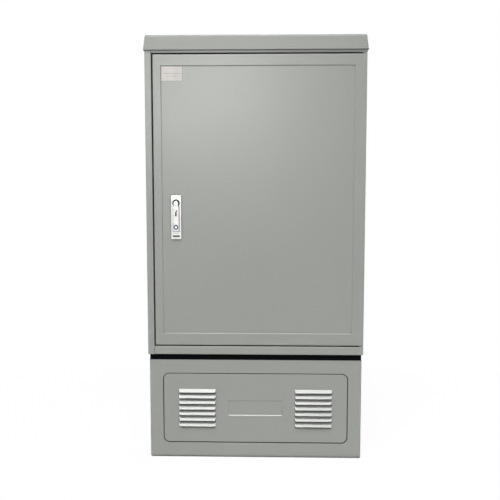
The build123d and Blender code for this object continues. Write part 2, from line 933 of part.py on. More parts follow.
def handle_outline(grow):
    """The handle seen from the front: a bar with shoulders, a neck and a round upper end."""
    half, neck = handle_width / 2 + grow, handle_neck + grow
    foot = spindle_z - handle_length - grow
    collar = spindle_z - handle_neck_length
    outline = Polyline(
        (lock_x - half, foot),
        (lock_x + half, foot),
        (lock_x + half, collar - handle_shoulder),
        (lock_x + neck, collar),
        (lock_x + neck, spindle_z),
        (lock_x - neck, spindle_z),
        (lock_x - neck, collar),
        (lock_x - half, collar - handle_shoulder),
        close=True,
    )
    return make_face(outline) + Pos(lock_x, spindle_z) * Circle(neck)


def lock_plate():
    outline = Pos(lock_x, lock_z) * RectangleRounded(lock_width, lock_height, lock_plate_corner)
    plate = front_plate(outline, (lock_front, field_face))
    plate = fillet(plate.faces().sort_by(Axis.Y)[0].edges(), bend_radius)
    shank = Pos(lock_x, lock_z) * RectangleRounded(
        lock_body_width, lock_body_height, lock_plate_corner
    )
    plate += front_plate(shank, (field_face, lock_body_back))
    moat = handle_outline(moat_width) - handle_outline(0)
    plate -= front_plate(moat, (lock_front, lock_front + moat_depth))
    tail = Pos(lock_x, spindle_z - spindle_pocket_tail / 2)
    pocket = Circle(spindle_pocket_radius)
    pocket = Pos(lock_x, spindle_z) * pocket + tail * Rectangle(
        2 * (handle_neck + moat_width), spindle_pocket_tail
    )
    plate -= front_plate(pocket, (lock_front, pocket_floor))
    bore = spindle_radius + running_clearance
    plate -= level_cylinder(lock_x, spindle_z, bore, (lock_front, lock_body_back))
    slot = Pos(lock_x, lock_bottom + label_slot_from_bottom)
    slot = slot * RectangleRounded(label_slot_width, label_slot_height, bend_radius)
    plate -= front_plate(slot, (lock_front, lock_front + moat_depth))
    for z in (lock_top - accent_from_top, lock_bottom + accent_from_bottom):
        accent = Pos(lock_x, z) * Rectangle(accent_width, accent_height)
        plate -= front_plate(accent, (lock_front, lock_front + accent_depth))
    return plate


def tongue_half():
    return handle_pin_radius + 0.4 * handle_pin_radius + bend_radius


def swing_handle():
    handle = front_plate(handle_outline(0), (handle_front, handle_back))
    handle = fillet(handle.faces().sort_by(Axis.Y)[0].edges(), handle_edge)
    slot = tongue_half() + 6 * running_clearance
    room = spindle_radius + 6 * running_clearance
    handle -= block(
        (lock_x - slot, lock_x + slot),
        (handle_front + handle_skin, handle_back),
        (spindle_z - room, spindle_z + handle_width),
    )
    handle -= cross_pin(handle_pin_radius + running_clearance)
    barrel = key_barrel_radius + running_clearance
    handle -= level_cylinder(lock_x, key_z, barrel, (handle_front, handle_back))
    handle -= dimple()
    return handle


def dimple():
    """A keyhole-shaped hollow in the face of the handle."""
    top = spindle_z - dimple_from_spindle
    foot = top - dimple_length
    taper = make_face(
        Polyline(
            (lock_x - dimple_bottom_radius, top),
            (lock_x - dimple_bottom_radius, foot),
            (lock_x + dimple_bottom_radius, foot),
            (lock_x + dimple_bottom_radius, top),
            close=True,
        )
    )
    outline = taper + Pos(lock_x, top) * Circle(dimple_top_radius)
    outline = outline + Pos(lock_x, foot) * Circle(dimple_bottom_radius)
    hollow = front_plate(outline, (handle_front, handle_front + dimple_depth))
    return hollow - level_cylinder(
        lock_x, top, dimple_rivet_radius, (handle_front, handle_front + dimple_depth)
    )


def cross_pin(radius):
    length = 2 * (handle_neck - handle_pin_inset)
    return Pos(lock_x, handle_pin_y, spindle_z) * Rot(0, 90, 0) * Cylinder(radius, length)


def handle_pin():
    return cross_pin(handle_pin_radius)


def key_barrel():
    depth = (handle_front - key_barrel_stand, handle_back)
    barrel = level_cylinder(lock_x, key_z, key_barrel_radius, depth)
    barrel = chamfer(barrel.faces().sort_by(Axis.Y)[0].edges(), key_barrel_stand)
    return barrel - level_cylinder(lock_x, key_z, key_plug_radius + running_clearance, depth)


def key_plug():
    depth = (handle_front - 2 * key_barrel_stand, handle_back)
    plug = level_cylinder(lock_x, key_z, key_plug_radius, depth)
    return plug - block(
        (lock_x - key_slot_width / 2, lock_x + key_slot_width / 2),
        (depth[0], depth[0] + key_slot_depth),
        (key_z - key_slot_height / 2, key_z + key_slot_height / 2),
    )


def lock_spindle():
    """Round where it turns in the lock plate, flat where the handle is pinned, square in the pinion."""
    nose = tongue_half() + 3 * running_clearance
    start = pocket_floor - bend_radius
    shaft = level_cylinder(lock_x, spindle_z, spindle_radius, (start, case_web_front))
    half = tongue_half()
    tongue = block(
        (lock_x - half, lock_x + half),
        (handle_pin_y, start),
        (spindle_z - nose, spindle_z + nose),
    )
    tongue += Pos(lock_x, handle_pin_y, spindle_z) * Rot(0, 90, 0) * Cylinder(nose, 2 * half)
    spindle = shaft + tongue - cross_pin(handle_pin_radius + running_clearance)
    side = spindle_square / 2
    spindle += block(
        (lock_x - side, lock_x + side),
        (case_web_front, bar_back + lock_case_sheet),
        (spindle_z - side, spindle_z + side),
    )
    tail = (bar_back + lock_case_sheet, case_back + 2 * lock_case_sheet)
    return spindle + level_cylinder(lock_x, spindle_z, spindle_tail_radius, tail)


def involute(radius):
    """Angle of the involute at a radius, from where it leaves the base circle."""
    base = pitch_radius * cos(radians(pressure_angle))
    if radius <= base:
        return 0.0
    angle = acos(base / radius)
    return tan(angle) - angle


def drive_pinion():
    base = pitch_radius * cos(radians(pressure_angle))
    root, tip = pitch_radius - tooth_dedendum, pitch_radius + tooth_addendum
    half_tooth = (tooth_pitch / 2 - tooth_backlash / 2) / (2 * pitch_radius)
    radii = [base + (tip - base) * i / (flank_points - 1) for i in range(flank_points)]
    flank = [(root, half_tooth + involute(pitch_radius))]
    flank += [(r, half_tooth + involute(pitch_radius) - involute(r)) for r in radii]
    points = []
    for tooth in range(pinion_teeth):
        middle = tooth * 2 * pi / pinion_teeth
        rising = [(r, middle - a) for r, a in flank]
        falling = [(r, middle + a) for r, a in reversed(flank)]
        points += [(r * cos(a), r * sin(a)) for r, a in rising + falling]
    gear = Pos(lock_x, spindle_z) * make_face(Polyline(*points, close=True))
    side = spindle_square + 2 * running_clearance
    gear -= Pos(lock_x, spindle_z) * Rectangle(side, side)
    middle = (bar_front + bar_back) / 2
    return front_plate(gear, (middle - pinion_thickness / 2, middle + pinion_thickness / 2))


def rack_bar(side, z, teeth_from, teeth_to):
    """A locking bar on one side of the pinion, with rack teeth on the edge that faces it."""
    x_inner, x_outer = sorted((lock_x + side * (bar_inner), lock_x + side * bar_outer))
    bar = block((x_inner, x_outer), (bar_front, bar_back), z)
    half = tooth_pitch / 4 - tooth_backlash / 4
    lean = tan(radians(pressure_angle))
    foot, crest = half + tooth_dedendum * lean, half - tooth_addendum * lean
    first = round((teeth_from - spindle_z) / tooth_pitch)
    last = round((teeth_to - spindle_z) / tooth_pitch)
    for index in range(first, last):
        middle = spindle_z + (index + 0.5) * tooth_pitch
        near = lock_x + side * (bar_inner + bend_radius)
        root = lock_x + side * bar_inner
        tip = lock_x + side * (pitch_radius - tooth_addendum)
        outline = Polyline(
            (near, middle - foot),
            (root, middle - foot),
            (tip, middle - crest),
            (tip, middle + crest),
            (root, middle + foot),
            (near, middle + foot),
            close=True,
        )
        bar += front_plate(make_face(outline), (bar_front, bar_back))
    return bar


def locking_bar_upper():
    tip = lip_top - sheet - bar_short_of_lip
    low = spindle_z - bar_overrun - tooth_pitch
    bar = rack_bar(-1, (low, tip), low + tooth_pitch / 2, spindle_z + bar_travel + bar_overrun)
    return chamfer(bar.faces().sort_by(Axis.Z)[-1].edges(), bar_tip_chamfer)


def locking_bar_lower():
    tip = lip_bottom + sheet + bar_short_of_lip
    high = spindle_z + bar_overrun + tooth_pitch
    bar = rack_bar(1, (tip, high), spindle_z - bar_travel - bar_overrun, high - tooth_pitch / 2)
    return chamfer(bar.faces().sort_by(Axis.Z)[0].edges(), bar_tip_chamfer)


def lock_case():
    """A folded channel that carries the pinion and guides the two bars."""
    t = lock_case_sheet
    inner, outer = case_inner, case_inner + t
    z = (spindle_z - lock_case_height / 2, spindle_z + lock_case_height / 2)
    case = block((lock_x - outer, lock_x + outer), (case_web_front, case_web_front + t), z)
    for side in (-1, 1):
        wall = sorted((lock_x + side * inner, lock_x + side * outer))
        foot = sorted((lock_x + side * outer, lock_x + side * (outer + lock_case_foot)))
        case += block(wall, (field_back, case_back), z)
        case += block(foot, (field_back, field_back + t), z)
    bridge = (spindle_z - lock_case_bridge / 2, spindle_z + lock_case_bridge / 2)
    case += block((lock_x - outer, lock_x + outer), (case_back - t, case_back), bridge)
    bore = spindle_square / sqrt(2) + 4 * running_clearance
    case -= level_cylinder(lock_x, spindle_z, bore, (case_web_front, case_web_front + t))
    tail = spindle_tail_radius + running_clearance
    return case - level_cylinder(lock_x, spindle_z, tail, (case_back - t, case_back))


def bar_guide(side, z):
    """A moulded guide on the back of the door that one locking bar slides through."""
    x = lock_x + side * (bar_inner + bar_outer) / 2
    half_x = bar_width / 2 + guide_gap
    reach = half_x + guide_wall
    half_z = guide_height / 2
    heights = (z - half_z, z + half_z)
    guide = block((x - reach, x + reach), (field_back, bar_back + guide_wall), heights)
    foot = reach + guide_foot
    guide += block((x - foot, x + foot), (field_back, field_back + guide_foot_thickness), heights)
    tunnel = (bar_front - guide_gap, bar_back + guide_gap)
    return guide - block((x - half_x, x + half_x), tunnel, heights)


# Equipment inside the body


def rack_upright(side):
    """An L-shaped upright from floor to ceiling with a row of fixing holes."""
    edge = upright_x + upright_face / 2
    path = [
        (upright_x - upright_face / 2, rack_front_y),
        (edge, rack_front_y),
        (edge, rack_front_y + upright_leg),
    ]
    upright = along_z(folded(path, upright_sheet), (floor_top, ceiling))
    for hole in range(rack_holes):
        z = rack_zero + hole * rack_hole_units * rack_unit
        depth = (rack_front_y, rack_front_y + upright_sheet)
        upright -= level_cylinder(upright_x, z, rack_hole_radius, depth)
    width = (upright_x - upright_face / 2, edge)
    depth = (rack_front_y, rack_front_y + upright_leg)
    upright += block(width, depth, (floor_top, floor_top + foot_thickness))
    upright += block(width, depth, (ceiling - foot_thickness, ceiling))
    return upright if side > 0 else mirror(upright, Plane.YZ)


def panel_middle(index):
    """The height of one panel, in whole units of the rack counted down from its top."""
    unit = rack_units - panel_first_unit + index * panel_step_units
    return rack_zero + unit * rack_unit


def panel_bottom(index):
    return panel_middle(index) - panel_height() / 2


def panel_height():
    return panel_units * rack_unit - adapter_collar / 2


def adapter_places(index):
    middle = panel_bottom(index) + panel_height() / 2
    columns = [(i - (adapter_columns - 1) / 2) * adapter_pitch_x for i in range(adapter_columns)]
    rows = [middle + (j - (adapter_rows - 1) / 2) * adapter_pitch_z for j in range(adapter_rows)]
    return [(x, z) for z in rows for x in columns]


def patch_panel(index):
    """A folded panel across the two uprights with a field of adapter openings."""
    low = panel_bottom(index)
    high = low + panel_height()
    face = rack_front_y - panel_sheet
    path = [(face + panel_flange, high), (face, high), (face, low), (face + panel_flange, low)]
    between = upright_x - upright_face / 2 - panel_sheet
    panel = along_x(folded(path, panel_sheet), (-between, between))
    ears = (low + 3 * panel_sheet, high - 3 * panel_sheet)
    panel += block((-panel_width / 2, panel_width / 2), (face, rack_front_y), ears)
    width = adapter_width + 2 * adapter_clearance
    height = adapter_height + 2 * adapter_clearance
    openings = [Pos(x, z) * Rectangle(width, height) for x, z in adapter_places(index)]
    panel -= front_plate(Sketch() + openings, (face, rack_front_y))
    for x, z in panel_screw_places(index):
        panel -= level_cylinder(x, z, screw_radius + running_clearance, (face, rack_front_y))
    return panel


def adapter(x, z):
    """One through-adapter: a collar on the panel and a dust cap in its front port."""
    face = rack_front_y - panel_sheet
    depth = (face - adapter_length / 2, face + adapter_length / 2)
    body = Pos(x, z) * Rectangle(adapter_width, adapter_height)
    collar = Pos(x, z) * Rectangle(adapter_collar_width, adapter_height)
    made = front_plate(body, depth) + front_plate(collar, (face - adapter_collar, face))
    cap = Pos(x, z) * Rectangle(dust_cap, dust_cap)
    return made + front_plate(cap, (depth[0] - dust_cap_length, depth[0]))


def adapter_field(index):
    return group([adapter(x, z) for x, z in adapter_places(index)])


def panel_screw_places(index):
    return [(side * upright_x, panel_middle(index)) for side in (-1, 1)]


def rack_screws():
    """Hexagon screws that hold the panels on the uprights."""
    face = rack_front_y - panel_sheet
    screws = []
    for index in range(panel_count):
        for x, z in panel_screw_places(index):
            shank = level_cylinder(x, z, screw_radius, (face, face + screw_length))
            head = Rot(90, 0, 0) * hexagon_head(screw_head_radius, (0, screw_head_height))
            screws.append(shank + Pos(x, face, z) * head)
    return group(screws)


def fibre_spool(index):
    """A hollow spool on the right-hand wall for spare fibre."""
    z = floor_top + spool_first_height + index * spool_pitch
    y = body_front + spool_from_front
    drum, rim, wall = spool_drum_radius, spool_flange_radius, spool_flange
    profile = [
        (spool_bore_radius, 0),
        (rim, 0),
        (rim, wall),
        (drum, wall),
        (drum, spool_length - wall),
        (rim, spool_length - wall),
        (rim, spool_length),
        (spool_bore_radius, spool_length),
    ]
    spool = turned(profile, 0, 0)
    spool += upright_cylinder(0, 0, spool_bore_radius, (0, 2 * wall))
    return Pos(inner_right, y, z) * Rot(0, -90, 0) * spool


def clamp_places():
    return [(i - (clamp_count - 1) / 2) * clamp_pitch for i in range(clamp_count)]


def clamp_rail_z():
    low = floor_top + clamp_rail_above_floor
    return low, low + clamp_rail_height


def cable_clamp_rail():
    """A channel across the uprights that the cable clamps are fixed to."""
    low, high = clamp_rail_z()
    face = rack_front_y - sheet
    path = [(face + clamp_rail_depth, high), (face, high), (face, low), (face + clamp_rail_depth, low)]
    between = upright_x - upright_face / 2 - sheet
    rail = along_x(folded(path), (-between, between))
    ear = upright_x + upright_face / 2
    fold = 2 * sheet + bend_radius
    return rail + block((-ear, ear), (face, rack_front_y), (low + fold, high - fold))


def cable_clamp(x):
    """A saddle that holds one cable against the rail."""
    low, high = clamp_rail_z()
    middle = (low + high) / 2
    face = rack_front_y - sheet
    outer = clamp_cable_radius + clamp_wall
    section = Pos(0, face - clamp_cable_radius) * (Circle(outer) - Circle(clamp_cable_radius))
    section += Pos(0, face - clamp_cable_radius / 2) * Rectangle(2 * outer, clamp_cable_radius)
    section += Pos(0, face - clamp_wall / 2) * Rectangle(2 * (outer + clamp_ear), clamp_wall)
    room = Rectangle(2 * clamp_cable_radius, clamp_cable_radius)
    section -= Pos(0, face - clamp_cable_radius / 2) * room
    keep = Pos(0, face - outer * 2) * Rectangle(4 * (outer + clamp_ear), 4 * outer)
    clamp = along_z(Pos(x, 0) * (section & keep), (middle - clamp_depth / 2, middle + clamp_depth / 2))
    for side in (-1, 1):
        screw_x = x + side * (outer + clamp_ear / 2)
        head_front = face - clamp_wall - screw_head_height
        head = level_cylinder(screw_x, middle, screw_head_radius, (head_front, face - clamp_wall))
        clamp += head
    return clamp


def earth_bar_z():
    return floor_top + earth_bar_above_floor


def earth_bar():
    z = earth_bar_z()
    back = inner_back - insulator_length
    outline = Pos(0, z) * Rectangle(earth_bar_length, earth_bar_height)
    for hole in range(earth_hole_count):
        x = (hole - (earth_hole_count - 1) / 2) * earth_hole_pitch
        outline -= Pos(x, z) * Circle(earth_hole_radius)
    return front_plate(outline, (back - earth_bar_thickness, back))


def earth_bar_insulators():
    """Two ribbed standoffs between the back panel and the earth bar."""
    made = []
    for side in (-1, 1):
        x = side * (earth_bar_length / 2 - insulator_radius - sheet)
        back = inner_back - insulator_length
        post = level_cylinder(x, earth_bar_z(), insulator_radius * 0.8, (back, inner_back))
        for share in (0.3, 0.7):
            y = back + share * insulator_length
            post += level_cylinder(x, earth_bar_z(), insulator_radius, (y - sheet, y + sheet))
        made.append(post)
    return group(made)


def grommet_places():
    return [(i - (grommet_count - 1) / 2) * grommet_pitch for i in range(grommet_count)]


def gland_screw_places():
    x = entry_width / 2 + gland_plate_border / 2
    y = entry_depth / 2 + gland_plate_border / 2
    return [(i * x, entry_centre_y + j * y) for i in (-1, 0, 1) for j in (-1, 1)]


def gland_plate():
    """A plate over the cable entry with one hole for each grommet."""
    width, depth = entry_width + 2 * gland_plate_border, entry_depth + 2 * gland_plate_border
    outline = Pos(0, entry_centre_y) * RectangleRounded(width, depth, gland_plate_border / 3)
    for x in grommet_places():
        outline -= Pos(x, entry_centre_y) * Circle(grommet_hole_radius)
    for x, y in gland_screw_places():
        outline -= Pos(x, y) * Circle(gland_screw_radius + running_clearance)
    return along_z(outline, (floor_top, floor_top + gland_plate_sheet))


def gland_plate_screws():
    top = floor_top + gland_plate_sheet
    screws = []
    for x, y in gland_screw_places():
        head = hexagon_head(gland_screw_head, (top, top + gland_screw_head_height))
        shank = upright_cylinder(x, y, gland_screw_radius, (body_bottom - sheet, top))
        screws.append(shank + Pos(x, y, 0) * head)
    return group(screws)


def cable_grommet(x):
    """A rubber grommet with a collar above and below the plate."""
    low, high = floor_top, floor_top + gland_plate_sheet
    waist = grommet_hole_radius - running_clearance
    collar = grommet_hole_radius + grommet_collar
    profile = [
        (grommet_bore_radius, low - grommet_collar_height),
        (waist, low - grommet_collar_height),
        (waist, high),
        (collar, high),
        (collar, high + grommet_collar_height / 2),
        (waist, high + grommet_collar_height),
        (grommet_bore_radius, high + grommet_collar_height),
    ]
    return turned(profile, x, entry_centre_y)


# Every piece and the node it is written to


def pieces():
    guide_top = lip_top - sheet - bar_short_of_lip - guide_from_tip
    guide_bottom = lip_bottom + sheet + bar_short_of_lip + guide_from_tip
    made = {
        "plinth": plinth(),
        "plinth_cover": plinth_cover(),
        "plinth_cover_clips": plinth_cover_clips(),
        "packing_frame": packing_frame(),
        "base_bolts": base_bolts(),
        "side_panel_left": side_panel_left(),
        "side_panel_right": side_panel_right(),
        "header_rail": header_rail(),
        "sill_rail": sill_rail(),
        "back_panel": back_panel(),
        "floor_panel": floor_panel(),
        "top_panel": top_panel(),
        "roof_cap": roof_cap(),
        "roof_cap_bolts": roof_cap_bolts(),
        "door_panel": door_panel(),
        "door_gasket": door_gasket(),
        "hinge_pin_top": hinge_pin(header_edge, -1),
        "hinge_pin_bottom": hinge_pin(sill_edge, 1),
        "hinge_sleeve_top": hinge_sleeve(door_top, -1),
        "hinge_sleeve_bottom": hinge_sleeve(door_bottom, 1),
        "document_pocket": document_pocket(),
        "name_plate": name_plate(),
        "lock_plate": lock_plate(),
        "swing_handle": swing_handle(),
        "handle_pin": handle_pin(),
        "key_barrel": key_barrel(),
        "key_plug": key_plug(),
        "lock_spindle": lock_spindle(),
        "drive_pinion": drive_pinion(),
        "lock_case": lock_case(),
        "locking_bar_upper": locking_bar_upper(),
        "locking_bar_lower": locking_bar_lower(),
        "bar_guide_upper": bar_guide(-1, guide_top),
        "bar_guide_lower": bar_guide(1, guide_bottom),
        "rack_upright_left": rack_upright(-1),
        "rack_upright_right": rack_upright(1),
        "rack_screws": rack_screws(),
        "cable_clamp_rail": cable_clamp_rail(),
        "earth_bar": earth_bar(),
        "earth_bar_insulators": earth_bar_insulators(),
        "gland_plate": gland_plate(),
        "gland_plate_screws": gland_plate_screws(),
    }
    for number, x in enumerate(stiffener_places, 1):
        made[f"door_stiffener_{number}"] = door_stiffener(x)
    for index in range(panel_count):
        made[f"patch_panel_{index + 1}"] = patch_panel(index)
        made[f"adapter_field_{index + 1}"] = adapter_field(index)
    for index in range(spool_count):
        made[f"fibre_spool_{index + 1}"] = fibre_spool(index)
    for number, x in enumerate(clamp_places(), 1):
        made[f"cable_clamp_{number}"] = cable_clamp(x)
    for number, x in enumerate(grommet_places(), 1):
        made[f"cable_grommet_{number}"] = cable_grommet(x)
    return made


os.makedirs("parts", exist_ok=True)
for node, shape in pieces().items():
    export_step(shape, f"parts/{node}.step")
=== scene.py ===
import json
from math import radians

import bpy
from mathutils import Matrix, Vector


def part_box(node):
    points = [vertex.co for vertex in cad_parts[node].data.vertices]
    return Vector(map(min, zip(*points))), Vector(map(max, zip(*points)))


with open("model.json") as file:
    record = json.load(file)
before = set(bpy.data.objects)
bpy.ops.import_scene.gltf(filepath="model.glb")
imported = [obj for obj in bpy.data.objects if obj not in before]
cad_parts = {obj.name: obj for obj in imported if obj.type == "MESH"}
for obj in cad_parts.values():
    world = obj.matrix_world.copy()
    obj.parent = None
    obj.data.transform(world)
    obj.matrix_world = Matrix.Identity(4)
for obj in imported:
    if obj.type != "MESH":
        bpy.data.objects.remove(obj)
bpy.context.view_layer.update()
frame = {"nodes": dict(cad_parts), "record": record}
nodes = frame["nodes"]
slot_of = {part["node"]: part["material_slot"] for part in frame["record"]["subparts"]}

# Most of a noise's values lie between these two
noise_low, noise_high = 0.3, 0.7


def tint(colour, share):
    """A paler or darker shade of a colour."""
    return tuple(min(1.0, channel * share) for channel in colour)


# Node helpers
class Graph:
    """Adds nodes to one node tree."""

    def __init__(self, tree):
        self.tree = tree

    def node(self, kind, **values):
        """A new shader node, with its properties and sockets set by name."""
        made = self.tree.nodes.new("ShaderNode" + kind)
        for key, value in values.items():
            if hasattr(made, key):
                setattr(made, key, value)
            else:
                made.inputs[key.replace("_", " ")].default_value = value
        return made

    def feed(self, socket, value):
        """Links a socket to another one, or sets it to a number or a colour."""
        if isinstance(value, bpy.types.NodeSocket):
            self.tree.links.new(value, socket)
        else:
            socket.default_value = (*value, 1) if isinstance(value, tuple) else value

    def math(self, operation, first, second=0):
        """One value worked out from two, or from the first alone."""
        made = self.node("Math", operation=operation)
        self.feed(made.inputs[0], first)
        self.feed(made.inputs[1], second)
        return made.outputs[0]

    def above(self, value, limit):
        return self.math("GREATER_THAN", value, limit)

    def below(self, value, limit):
        return self.math("LESS_THAN", value, limit)

    def either(self, first, second):
        return self.math("MAXIMUM", first, second)

    def every(self, *masks):
        """One where all the masks are one."""
        overlap = masks[0]
        for mask in masks[1:]:
            overlap = self.math("MULTIPLY", overlap, mask)
        return overlap

    def band(self, value, low, high):
        """One between two limits and nothing outside them."""
        return self.every(self.above(value, low), self.below(value, high))

    def span(self, value, low, high, to_low, to_high):
        """Maps one range of a value to another, and holds it at both ends."""
        made = self.node("MapRange", From_Min=low, From_Max=high, To_Min=to_low, To_Max=to_high)
        self.feed(made.inputs["Value"], value)
        return made.outputs["Result"]

    def seen(self, unseen_level, seen_level):
        """One level for what lights the part, and another for what the eye, metal and glass see."""
        path = self.node("LightPath").outputs
        rays = path["Is Camera Ray"]
        for name in ("Is Glossy Ray", "Is Transmission Ray"):
            rays = self.either(rays, path[name])
        return self.span(rays, 0.0, 1.0, unseen_level, seen_level)


class Finish(Graph):
    """One material, whose nodes work in metres in the frame of the part."""

    def __init__(self, name):
        self.mat = bpy.data.materials.new(name)
        self.mat.use_nodes = True
        super().__init__(self.mat.node_tree)
        self.bsdf = self.tree.nodes["Principled BSDF"]
        self.space = self.node("TexCoord").outputs["Object"]

    def axes(self):
        """The three coordinates of a point on the part."""
        made = self.node("SeparateXYZ")
        self.feed(made.inputs["Vector"], self.space)
        return made.outputs["X"], made.outputs["Y"], made.outputs["Z"]

    def stretched(self, scale):
        """Coordinates with a scale of their own along each axis."""
        made = self.node("Mapping", Scale=scale)
        self.feed(made.inputs["Vector"], self.space)
        return made.outputs["Vector"]

    def noise(self, scale, detail=3.0, vector=None):
        made = self.node("TexNoise", Scale=scale, Detail=detail, Roughness=0.55)
        self.feed(made.inputs["Vector"], vector or self.space)
        return made.outputs["Fac"]

    def spread(self, noise, low, high):
        """Spreads a noise over a range."""
        return self.span(noise, noise_low, noise_high, low, high)

    def shades(self, noise, colour, darkest, palest, low=noise_low, high=noise_high):
        """A colour that runs from a darker to a paler shade of itself as the noise rises."""
        made = self.node("ValToRGB")
        ends = ((low, darkest), (high, palest))
        for element, (place, share) in zip(made.color_ramp.elements, ends):
            element.position = place
            element.color = (*tint(colour, share), 1)
        self.feed(made.inputs["Fac"], noise)
        return made.outputs["Color"]

    def mix(self, share, first, second, colours=True):
        """Two colours, or else two numbers, mixed by a share."""
        made = self.node("Mix", data_type="RGBA" if colours else "FLOAT")
        first_input, second_input, result = (6, 7, 2) if colours else (2, 3, 0)
        self.feed(made.inputs[0], share)
        self.feed(made.inputs[first_input], first)
        self.feed(made.inputs[second_input], second)
        return made.outputs[result]

    def drive(self, name, value):
        """Links one of the shader's sockets."""
        self.feed(self.bsdf.inputs[name], value)

    def cover(self, mask, colour, rough=None, metal=None):
        """Lays another colour, roughness and metal over the finish where the mask is one."""
        for name, value in (("Base Color", colour), ("Roughness", rough), ("Metallic", metal)):
            if value is None:
                continue
            socket = self.bsdf.inputs[name]
            under = socket.links[0].from_socket if socket.is_linked else socket.default_value
            self.drive(name, self.mix(mask, under, value, name == "Base Color"))

    def bump(self, height, strength, distance):
        made = self.node("Bump", Strength=strength, Distance=distance)
        self.feed(made.inputs["Height"], height)
        self.drive("Normal", made.outputs["Normal"])

    def fixed(self, **values):
        """Sets what is the same all over the surface."""
        for key, value in values.items():
            self.bsdf.inputs[key.replace("_", " ")].default_value = value


# Kinds of finish
def powder_coat(name, colour, rough=0.34):
    """Powder coat: a faint orange peel, slight unevenness of tone and gloss, and painted shade that
    darkens and roughens it in tight gaps.
    """
    speck_share = 0.45
    unevenness = 0.03
    gap_reach, tightest, clear = 0.02, 0.3, 0.86
    painted_shade_share, painted_shade_rough = 0.12, 0.8

    coat = Finish(name)
    cloud = coat.noise(scale=2.2, detail=4.0)
    tone = coat.shades(cloud, colour, darkest=0.97, palest=1.03)
    fine = coat.noise(scale=140.0, detail=2.0)
    speck = coat.shades(fine, colour, darkest=0.96, palest=1.04, low=0.35, high=0.65)
    coat.drive("Base Color", coat.mix(speck_share, tone, speck))
    coat.drive("Roughness", coat.spread(cloud, rough - unevenness, rough + unevenness))
    # Painted shade: where ambient occlusion finds a tight gap, a dark, rough colour is laid over the
    # coat
    gap = coat.node("AmbientOcclusion", samples=8, Distance=gap_reach)
    painted_shade = coat.span(gap.outputs["AO"], tightest, clear, 1.0, 0.0)
    coat.cover(painted_shade, tint(colour, painted_shade_share), painted_shade_rough)
    coat.bump(coat.noise(scale=420.0, detail=2.0), strength=0.12, distance=0.0004)
    coat.fixed(Metallic=0.0, Specular_IOR_Level=0.85)
    return coat


def plated(name, colour, rough, grain=(60, 60, 900), strength=0.08):
    """Plated or bare metal with a fine grain along one way."""
    metal = Finish(name)
    smoothest, roughest = 0.8, 1.25
    line = metal.noise(scale=1.0, vector=metal.stretched(grain))
    cloud = metal.noise(scale=30.0)
    metal.drive("Base Color", metal.shades(cloud, colour, darkest=0.9, palest=1.06))
    metal.drive("Roughness", metal.spread(line, rough * smoothest, rough * roughest))
    metal.bump(line, strength, distance=0.0003)
    metal.fixed(Metallic=1.0)
    return metal


def polished(name, colour, rough):
    """Bright plated metal, whose grain is coarser and fainter than that of plain zinc."""
    return plated(name, colour, rough, grain=(40, 40, 500), strength=0.03)


def plastic(name, colour, rough, grain=500.0, strength=0.15):
    """Moulded plastic, enamel or rubber with a fine grain."""
    skin = Finish(name)
    unevenness = 0.04
    cloud = skin.noise(scale=40.0)
    skin.drive("Base Color", skin.shades(cloud, colour, darkest=0.92, palest=1.08))
    skin.drive("Roughness", skin.spread(cloud, rough - unevenness, rough + unevenness))
    skin.bump(skin.noise(grain, detail=2.0), strength, distance=0.0003)
    skin.fixed(Metallic=0.0)
    return skin


# A finish for each material slot of the record
grey_green = (0.256, 0.267, 0.243)
bright = (0.78, 0.78, 0.77)
# Colours that stand in for light: grey painted shade for the lock's sunk recess, and black for painted
# shade in its deep hollows and a painted dark reflection on the handle
painted_recess_shade = (0.34, 0.35, 0.35)
painted_darkness = (0.006, 0.006, 0.006)

finish_of_slot = {
    "body_paint": powder_coat("grey_green_powder_coat", grey_green),
    "black_packing": powder_coat("black_powder_coat", (0.004, 0.005, 0.005), rough=0.75),
    "zinc_steel": plated("zinc_plate", (0.44, 0.45, 0.44), rough=0.45),
    "key_brass": plated("key_metal", (0.85, 0.86, 0.84), rough=0.25, grain=(900, 60, 60)),
    "copper_alloy": plated("copper", (0.86, 0.48, 0.32), rough=0.32),
    "blue_ring": plastic("blue_ring", (0.004, 0.013, 0.075), rough=0.45),
    "black_rubber": plastic("black_rubber", (0.018, 0.018, 0.018), rough=0.75),
    "black_plastic": plastic("black_plastic", (0.022, 0.022, 0.023), rough=0.5),
    "spool_plastic": plastic("spool_plastic", (0.62, 0.61, 0.56), rough=0.45),
    "adapter_plastic": plastic("adapter_plastic", (0.02, 0.13, 0.42), rough=0.35),
    "insulator_red": plastic("insulator_red", (0.38, 0.03, 0.02), rough=0.3),
    "pocket_plastic": plastic("pocket_plastic", (0.36, 0.37, 0.36), rough=0.5),
}
finish_of_slot["black_packing"].fixed(Specular_IOR_Level=0.0)
finish_of_slot["blue_ring"].fixed(Specular_IOR_Level=0.15)


# Finishes of single pieces, with sizes in metres
def lock_face():
    """The bright lock plate, with black painted shade in its deep recesses and grey painted shade in the
    shallow ones.
    """
    recess_half_width = 0.0135
    lower_rim, upper_rim = 0.005, 0.004
    shallow, deep = 0.0003, 0.0007
    pocket_length, slot_length = 0.037, 0.015

    low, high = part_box("lock_plate")
    middle = (low.x + high.x) / 2
    face = polished("lock_face", bright, rough=0.2)
    x, y, z = face.axes()
    inside = face.every(
        face.band(x, middle - recess_half_width, middle + recess_half_width),
        face.band(z, low.z + lower_rim, high.z - upper_rim),
    )
    sunk = face.every(inside, face.above(y, low.y + shallow))
    pocket = face.above(z, high.z - pocket_length)
    slot = face.below(z, low.z + slot_length)
    ends = face.either(pocket, slot)
    # Painted shade: grey over the sunk recess, and black over its deep pocket at the top and slot at the
    # bottom
    face.cover(sunk, painted_recess_shade, rough=0.5)
    face.cover(face.every(sunk, face.above(y, low.y + deep), ends), painted_darkness, rough=0.6, metal=0.0)
    return face


